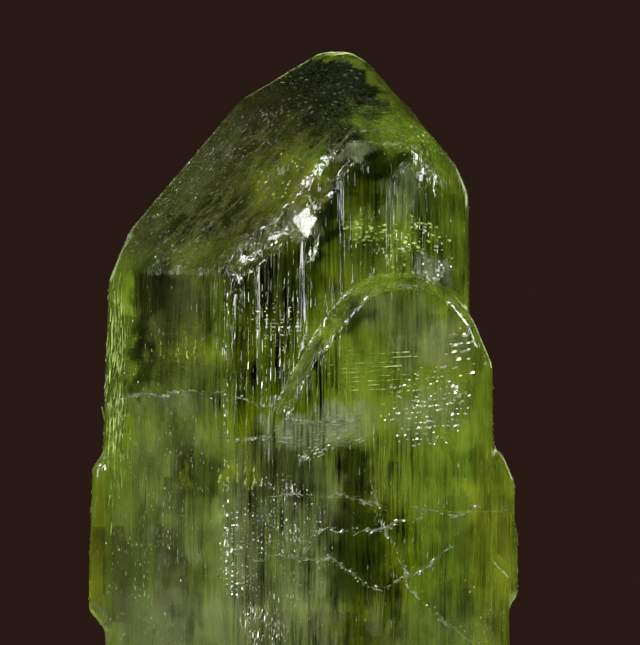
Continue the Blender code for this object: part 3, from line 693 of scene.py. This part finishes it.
def crack_places(choose, line, pitch, spread, sizes, clumping):
    """Where the marks along a crack lie: one every pitch along its wavering line, turned along it."""
    width, height = sizes
    places = []
    for (x0, z0), (x1, z1) in zip(line, line[1:]):
        steps = max(1, round(math.hypot(x1 - x0, z1 - z0) / pitch))
        turn = math.degrees(math.atan2(z1 - z0, x1 - x0))
        for i in range(steps):
            share = (i + choose.random()) / steps
            x = x0 + share * (x1 - x0)
            z = z0 + share * (z1 - z0)
            sway = noise.noise_vector(Vector((x, 0, z)) / CRACK_WAVES) * CRACK_SWAY
            size = choose.uniform(LEAST_CRACK_MARK, 1.0) ** 2
            if not is_bare(choose, x, z, clumping):
                x += sway.x + choose.gauss(0, spread)
                z += sway.z + choose.gauss(0, spread)
                places.append((x, z, width * size, height * size, turn + choose.gauss(0, THREAD_SWAY)))
    return places


def mark_patches(choose):
    """The patches of marks: for each, the places of its marks, the side that it is on and its finish."""
    patches = {}
    for name, (side, *area, finish) in ETCH_MARKS.items():
        patches[f"marks_{name}"] = (etch_places(choose, *area), side, finish)
    for kind, (pitch, spread, sizes, clumping, finish) in CRACK_MARKS.items():
        places = []
        for _, line in CRACKS.values():
            places += crack_places(choose, line, pitch, spread, sizes, clumping)
        patches[f"crack_{kind}"] = (places, 0, finish)
    return patches


def add_piece(piece, material):
    """Makes this a piece of the crystal, with its material."""
    piece.data.materials.append(material)
    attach(piece, "root")


def add_node(tree, kind, inputs=None, **settings):
    """A node with its settings, and its inputs set to values or linked to sockets."""
    node = tree.nodes.new(kind)
    for key, value in settings.items():
        setattr(node, key, value)
    for key, value in (inputs or {}).items():
        if isinstance(value, bpy.types.NodeSocket):
            tree.links.new(value, node.inputs[key])
        else:
            node.inputs[key].default_value = value
    return node


def new_group(name, inputs, outputs):
    """An empty shader node group: its tree and the sockets that come in, given as name: (kind, value)."""
    tree = bpy.data.node_groups.new(name, "ShaderNodeTree")
    for label, (kind, value) in inputs.items():
        socket = tree.interface.new_socket(label, in_out="INPUT", socket_type=f"NodeSocket{kind}")
        socket.default_value = value
    for label, kind in outputs.items():
        tree.interface.new_socket(label, in_out="OUTPUT", socket_type=f"NodeSocket{kind}")
    return tree, tree.nodes.new("NodeGroupInput").outputs


def group_outputs(tree, results):
    end = tree.nodes.new("NodeGroupOutput")
    for label, socket in results.items():
        tree.links.new(socket, end.inputs[label])


def use_group(tree, group, inputs):
    """Places a node group in a material with its own values, and returns its outputs."""
    return add_node(tree, "ShaderNodeGroup", inputs, node_tree=group).outputs


def math_node(tree, operation, *values, clamp=False):
    node = tree.nodes.new("ShaderNodeMath")
    node.operation = operation
    node.use_clamp = clamp
    for i, value in enumerate(values):
        if isinstance(value, bpy.types.NodeSocket):
            tree.links.new(value, node.inputs[i])
        else:
            node.inputs[i].default_value = value
    return node.outputs[0]


def vector_node(tree, operation, *values):
    node = tree.nodes.new("ShaderNodeVectorMath")
    node.operation = operation
    for i, value in enumerate(values):
        if isinstance(value, bpy.types.NodeSocket):
            tree.links.new(value, node.inputs[i])
        else:
            node.inputs[i].default_value = value
    return node


def ramp(tree, value, low, high, start=0.0, end=1.0):
    """Goes smoothly from start to end while the value goes from low to high."""
    return add_node(
        tree, "ShaderNodeMapRange",
        {"Value": value, "From Min": low, "From Max": high, "To Min": start, "To Max": end},
        interpolation_type="SMOOTHSTEP",
    ).outputs["Result"]


def grain_group():
    """A noise stretched along the axes: its height is from 0 to 1, and its grains are as long as Size."""
    tree, given = new_group(
        "grain",
        {"Position": ("Vector", (0, 0, 0)), "Size": ("Vector", (1, 1, 1)), "Detail": ("Float", 2.0)},
        {"Height": "Float"},
    )
    scaled = vector_node(tree, "DIVIDE", given["Position"], given["Size"])
    made = add_node(
        tree, "ShaderNodeTexNoise", {"Vector": scaled.outputs[0], "Scale": 1.0, "Detail": given["Detail"]}
    )
    group_outputs(tree, {"Height": made.outputs["Fac"]})
    return tree


def new_material(name):
    material = bpy.data.materials.new(name)
    material.use_nodes = True
    material.node_tree.nodes.clear()
    return material


def add_up(tree, *values):
    total = values[0]
    for value in values[1:]:
        total = math_node(tree, "ADD", total, value)
    return total


def object_millimetres(tree):
    """The place on the object, in millimetres."""
    where = add_node(tree, "ShaderNodeTexCoord").outputs["Object"]
    position = vector_node(tree, "SCALE", where)
    position.inputs["Scale"].default_value = 1 / MM
    return position.outputs[0]


def fade(tree, value, name):
    """Goes from one share to another while this value passes between two limits."""
    return ramp(tree, value, *FADES[name])


def attribute(tree, name):
    """One of the values that are painted on the stone's skin."""
    return add_node(tree, "ShaderNodeAttribute", attribute_name=name).outputs


def multiply(tree, *values):
    total = values[0]
    for value in values[1:]:
        total = math_node(tree, "MULTIPLY", total, value)
    return total


def pattern(tree, grain, position, name):
    """One of the patterns of the stone's skin."""
    size, detail, low, high, least, most = PATTERNS[name]
    made = use_group(tree, grain, {"Position": position, "Size": size, "Detail": detail})
    return ramp(tree, made["Height"], low, high, least, most)


def gem_bump(tree, grain, position, place, facing):
    """The fine relief of the skin: ribs and fibres on the prism faces, and pits on the slopes."""
    prism = fade(tree, math_node(tree, "ABSOLUTE", facing["Z"]), "prism")
    striation = add_up(tree, *[pattern(tree, grain, position, name) for name in ("ribs", "fibres")])
    striation = multiply(tree, striation, prism, attribute(tree, "striated")["Fac"])
    pits = add_up(tree, *[pattern(tree, grain, position, name) for name in ("pits", "fine_pits")])
    pits = multiply(
        tree, pits, fade(tree, facing["Z"], "slope"), fade(tree, place["Y"], "pitted_front"),
        fade(tree, facing["X"], "pitted_left"),
    )
    polish = fade(tree, attribute(tree, "polish")["Fac"], "polished")
    relief = multiply(tree, math_node(tree, "ADD", striation, pits), polish)
    bump = add_node(tree, "ShaderNodeBump", {"Height": relief, "Distance": MM, "Strength": 1.0})
    return bump.outputs["Normal"]


def gem_roughness(tree, position, place, facing):
    """Clear in front, frosted in blocks at the back, and rougher on the slopes and in the milky zones."""
    blocks = add_node(
        tree, "ShaderNodeTexVoronoi",
        {"Vector": vector_node(tree, "DIVIDE", position, FROST_BLOCKS).outputs[0], "Scale": 1.0},
        distance="CHEBYCHEV",
    ).outputs["Color"]
    frosted = fade(tree, add_node(tree, "ShaderNodeSeparateXYZ", {"Vector": blocks}).outputs["X"], "blocks")
    behind = fade(tree, multiply(tree, fade(tree, place["Y"], "back"), frosted), "back_roughness")
    slope = math_node(tree, "MULTIPLY", fade(tree, facing["Z"], "slope"), SLOPE_ROUGHNESS)
    milky = math_node(tree, "MULTIPLY", attribute(tree, "frost")["Fac"], FROST_ROUGHNESS)
    return math_node(tree, "MAXIMUM", math_node(tree, "MAXIMUM", behind, slope), milky)


def gem_streaks(tree, grain, position, place):
    """What the tint and its painted light and shade are multiplied by: upright streaks where the faces are
    striated, and clouds everywhere.
    """
    fine = add_up(tree, *[pattern(tree, grain, position, name) for name in ("hairs", "bands")])
    lined = fade(tree, attribute(tree, "striated")["Fac"], "streaked")
    streaks = math_node(tree, "MULTIPLY_ADD", fine, lined, pattern(tree, grain, position, "clouds"))
    away = math_node(tree, "SUBTRACT", streaks, 1.0)
    return math_node(tree, "MULTIPLY_ADD", away, fade(tree, place["Y"], "streaked_front"), 1.0)


def gem_etching(tree, grain, position, place, facing):
    """How grey the skin is from etching: in scratches along the left slope and in arcs on the crown."""
    top = fade(tree, facing["Z"], "slope")
    sloping = add_node(
        tree, "ShaderNodeMapping", {"Vector": position, "Rotation": (0, math.radians(SLOPE_TURN), 0)}
    ).outputs["Vector"]
    left_slope = multiply(
        tree, top, fade(tree, facing["X"], "left_slope"), fade(tree, place["Z"], "slope_foot"),
        fade(tree, place["Z"], "slope_top"),
    )
    marked = [pattern(tree, grain, sloping, name) for name in ("scratches", "blotches")]
    scratches = multiply(tree, left_slope, *marked)
    crown = multiply(tree, top, fade(tree, place["Z"], "crown"), pattern(tree, grain, position, "arcs"))
    return math_node(tree, "ADD", scratches, crown)


def gem_material():
    """The clear green stone: its tint, with light and shade painted into it, varies in zones, and light that
    crosses it is absorbed.
    """
    material = new_material("peridot")
    tree = material.node_tree
    grain = grain_group()
    position = object_millimetres(tree)
    place = add_node(tree, "ShaderNodeSeparateXYZ", {"Vector": position}).outputs
    normal = add_node(tree, "ShaderNodeNewGeometry").outputs["Normal"]
    facing = add_node(tree, "ShaderNodeSeparateXYZ", {"Vector": normal}).outputs
    shaded = vector_node(tree, "SCALE", attribute(tree, "tint_and_painted_light")["Color"])
    tree.links.new(gem_streaks(tree, grain, position, place), shaded.inputs["Scale"])
    etched = gem_etching(tree, grain, position, place, facing)
    body = add_node(
        tree, "ShaderNodeMix", {"Factor": etched, "A": shaded.outputs[0], "B": (*ETCHED, 1)}, data_type="RGBA"
    )
    shader = add_node(
        tree,
        "ShaderNodeBsdfPrincipled",
        {
            "Base Color": body.outputs["Result"],
            "Roughness": gem_roughness(tree, position, place, facing),
            "IOR": GEM_IOR,
            "Transmission Weight": GEM_TRANSMISSION,
            "Normal": gem_bump(tree, grain, position, place, facing),
        },
    )
    absorb = add_node(
        tree, "ShaderNodeVolumeAbsorption", {"Color": (*GEM_TINT, 1), "Density": GEM_ABSORPTION}
    )
    out = add_node(tree, "ShaderNodeOutputMaterial")
    tree.links.new(shader.outputs["BSDF"], out.inputs["Surface"])
    tree.links.new(absorb.outputs["Volume"], out.inputs["Volume"])
    return material


def finish_material(material, inputs):
    """Ends a material with a plain shader that has these inputs."""
    tree = material.node_tree
    shader = add_node(tree, "ShaderNodeBsdfPrincipled", inputs)
    out = add_node(tree, "ShaderNodeOutputMaterial")
    tree.links.new(shader.outputs["BSDF"], out.inputs["Surface"])
    return material


def clouds(tree, scale, detail):
    """A plain noise with this many grains to the millimetre."""
    position = object_millimetres(tree)
    return add_node(
        tree, "ShaderNodeTexNoise", {"Vector": position, "Scale": scale, "Detail": detail}
    ).outputs["Fac"]


def crack_material():
    """A healed crack: whitish, and broken up into beads and gaps."""
    material = new_material("healed crack")
    tree = material.node_tree
    alpha = fade(tree, clouds(tree, *CRACK_BEADS), "crack_beads")
    return finish_material(material, {"Base Color": (*CRACK_COLOR, 1), "Roughness": 0.4, "Alpha": alpha})


def veil_material():
    """A milky veil: pale, cloudy and see-through, and fading out towards its rim."""
    material = new_material("milky veil")
    tree = material.node_tree
    unwrapped = add_node(tree, "ShaderNodeUVMap").outputs["UV"]
    from_middle = vector_node(tree, "DISTANCE", unwrapped, (0.5, 0.5, 0)).outputs["Value"]
    alpha = multiply(
        tree, fade(tree, clouds(tree, *VEIL_CLOUDS), "veil_clouds"), fade(tree, from_middle, "veil_rim")
    )
    return finish_material(material, {"Base Color": (*VEIL_COLOR, 1), "Roughness": 0.6, "Alpha": alpha})


def mark_material(name, dark, light, metallic, roughness):
    """Etch marks, and flakes of painted glow: small facets whose colour goes from dark to light from patch to
    patch.
    """
    material = new_material(name)
    tree = material.node_tree
    patches = fade(tree, clouds(tree, *MARK_PATCHES), "mark_patches")
    shade = add_node(
        tree, "ShaderNodeMix", {"Factor": patches, "A": (*dark, 1), "B": (*light, 1)}, data_type="RGBA"
    ).outputs["Result"]
    return finish_material(material, {"Base Color": shade, "Roughness": roughness, "Metallic": metallic})


def plain_material(name, color, roughness):
    return finish_material(new_material(name), {"Base Color": (*color, 1), "Roughness": roughness})


def make_stage():
    """The pale floor, and a dark room round it."""
    bpy.ops.mesh.primitive_circle_add(vertices=96, radius=FLOOR_RADIUS * MM, fill_type="NGON")
    floor = bpy.context.active_object
    floor.name = "floor"
    floor.data.materials.append(plain_material("floor", FLOOR_COLOR, 0.8))
    world = bpy.data.worlds.new("room")
    bpy.context.scene.world = world
    world.use_nodes = True
    world.node_tree.nodes["Background"].inputs["Color"].default_value = (*BACKDROP, 1)
    world.node_tree.nodes["Background"].inputs["Strength"].default_value = 1.0


def make_lights():
    middle = Vector(CRYSTAL_MIDDLE)
    for name, (azimuth, elevation, distance, width, height, power, color) in SOFT_BOXES.items():
        across = math.radians(azimuth)
        up = math.radians(elevation)
        way = Vector((math.sin(across) * math.cos(up), -math.cos(across) * math.cos(up), math.sin(up)))
        light = bpy.data.lights.new(name, "AREA")
        light.shape = "RECTANGLE"
        light.size = width * MM
        light.size_y = height * MM
        light.energy = power
        light.color = color
        lamp = bpy.data.objects.new(name, light)
        lamp.location = (middle + way * distance) * MM
        lamp.rotation_euler = (-way).to_track_quat("-Z", "Y").to_euler()
        bpy.context.scene.collection.objects.link(lamp)


def make_camera():
    data = bpy.data.cameras.new("camera")
    data.sensor_width = SENSOR
    data.lens = SENSOR * CAMERA_DISTANCE / VIEW_HEIGHT
    data.clip_start = 10 * MM
    camera = bpy.data.objects.new("camera", data)
    camera.location = Vector((VIEW_CENTRE[0], -CAMERA_DISTANCE, VIEW_CENTRE[1])) * MM
    camera.rotation_euler = (math.radians(90), 0, 0)
    bpy.context.scene.collection.objects.link(camera)
    bpy.context.scene.camera = camera


def set_light_paths():
    """A gem needs long light paths: light is reflected many times inside it."""
    scene = bpy.context.scene
    scene.view_settings.view_transform = "Standard"
    scene.cycles.max_bounces = 24
    scene.cycles.glossy_bounces = 12
    scene.cycles.transmission_bounces = 16
    scene.cycles.transparent_max_bounces = 16


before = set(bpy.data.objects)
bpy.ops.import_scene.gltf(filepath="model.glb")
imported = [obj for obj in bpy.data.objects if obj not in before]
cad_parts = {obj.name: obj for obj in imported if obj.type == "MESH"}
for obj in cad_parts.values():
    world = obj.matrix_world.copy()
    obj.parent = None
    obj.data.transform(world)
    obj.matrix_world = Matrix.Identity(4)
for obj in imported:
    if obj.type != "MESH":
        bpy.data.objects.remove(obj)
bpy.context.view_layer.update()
# Without a seed, vector noise would start from the clock
noise.seed_set(SEED)
make_camera()
make_stage()
make_lights()
set_light_paths()

crystal = make_crystal(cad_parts["peridot_crystal"])
paint_zones(crystal)
crystal.data.materials.clear()
add_piece(crystal, gem_material())
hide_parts("peridot_crystal")

healed = crack_material()
for name, (depth, line) in CRACKS.items():
    add_piece(make_crack(name, crystal, depth, line), healed)

milky = veil_material()
for name, (middle, half_width, half_height, turn, lean) in VEILS.items():
    add_piece(make_veil(name, middle, half_width, half_height, turn, lean), milky)

mark = etch_mark()
choose = random.Random(SEED)
finishes = {name: mark_material(*look) for name, look in FINISHES.items()}
for name, (places, side, finish) in mark_patches(choose).items():
    add_piece(lay_marks(name, mark, crystal, choose, places, side), finishes[finish])
bpy.data.objects.remove(mark)
